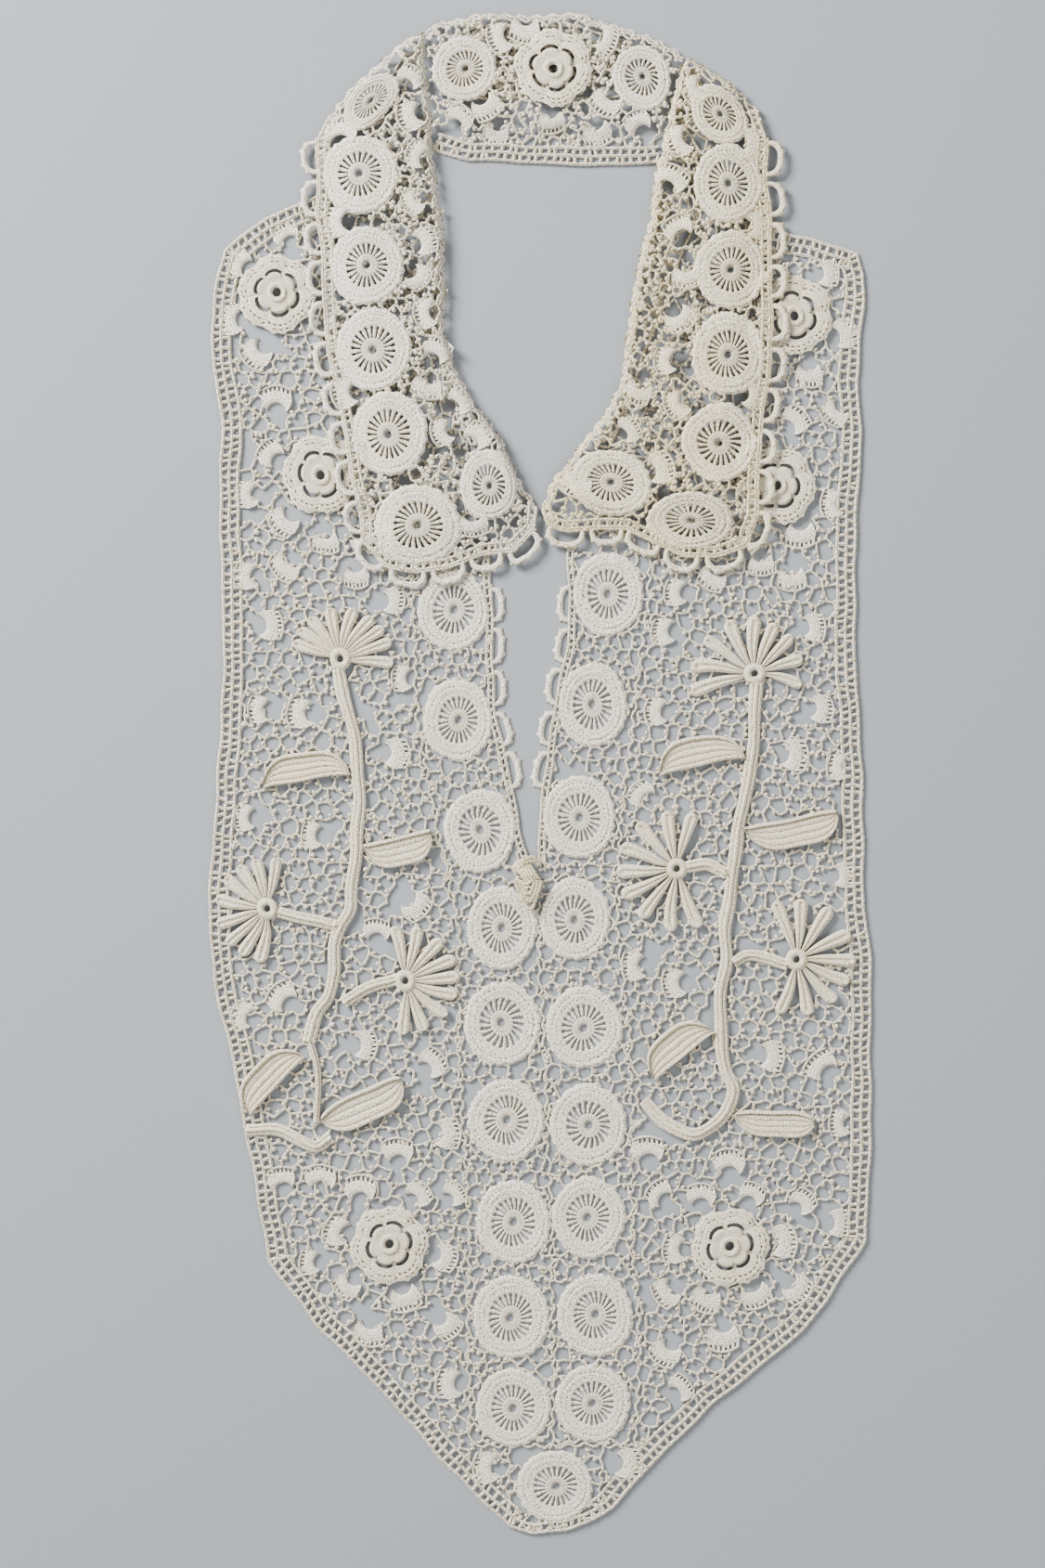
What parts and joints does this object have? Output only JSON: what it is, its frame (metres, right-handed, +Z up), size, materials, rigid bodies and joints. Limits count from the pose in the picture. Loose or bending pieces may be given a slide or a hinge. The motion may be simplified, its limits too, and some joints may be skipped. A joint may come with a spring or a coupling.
{
  "type": "lace collar with long front panel",
  "caption": "Crochet lace collar laid flat: a turned-down fall round an open neck, over a long pointed front panel with a slit, wheels, roses, daisies and a knotted ground.",
  "frame": {"origin": "Middle of the collar's outline, on the surface that it lies on", "axes": "+X to the collar's right side as seen from above, +Y from the panel's point to the back of the neck, +Z up off the surface"},
  "size_m": [0.3, 0.688, 0.0095],
  "materials": {
    "cotton_ivory": "matt ivory crochet cotton",
    "cotton_cream": "matt cream crochet cotton over a padding cord",
    "cotton_toned": "matt crochet cotton, yellowed with age"
  },
  "bodies": {
    "root": {"back_fall_behind": "cotton_ivory", "back_stand": "cotton_ivory", "fall_left": "cotton_ivory", "fall_loops_left": "cotton_ivory", "fall_loops_right": "cotton_toned", "fall_right": "cotton_toned", "flower_left_low": "cotton_cream", "flower_left_side": "cotton_cream", "flower_left_top": "cotton_cream", "flower_right_middle": "cotton_cream", "flower_right_side": "cotton_cream", "flower_right_top": "cotton_cream", "front_knot": "cotton_toned", "leaf_left_1": "cotton_cream", "leaf_left_2": "cotton_cream", "leaf_left_3": "cotton_cream", "leaf_left_4": "cotton_cream", "leaf_right_1": "cotton_cream", "leaf_right_2": "cotton_cream", "leaf_right_3": "cotton_cream", "leaf_right_4": "cotton_cream", "net_left": "cotton_ivory", "net_right": "cotton_ivory", "point_wheel": "cotton_ivory", "rose_back": "cotton_cream", "rose_left_1": "cotton_cream", "rose_left_2": "cotton_cream", "rose_left_3": "cotton_cream", "rose_right_1": "cotton_cream", "rose_right_2": "cotton_cream", "rose_right_3": "cotton_cream", "slit_loops_left": "cotton_ivory", "slit_loops_right": "cotton_ivory", "stand_left": "cotton_ivory", "stand_right": "cotton_toned", "stem_left": "cotton_cream", "stem_left_end": "cotton_cream", "stem_right": "cotton_cream", "tail_left": "cotton_cream", "twig_left_low": "cotton_cream", "twig_left_side": "cotton_cream", "twig_right_middle": "cotton_cream", "twig_right_side": "cotton_cream", "wheel_band_left": "cotton_ivory", "wheel_band_right": "cotton_ivory"}
  },
  "joints": []
}
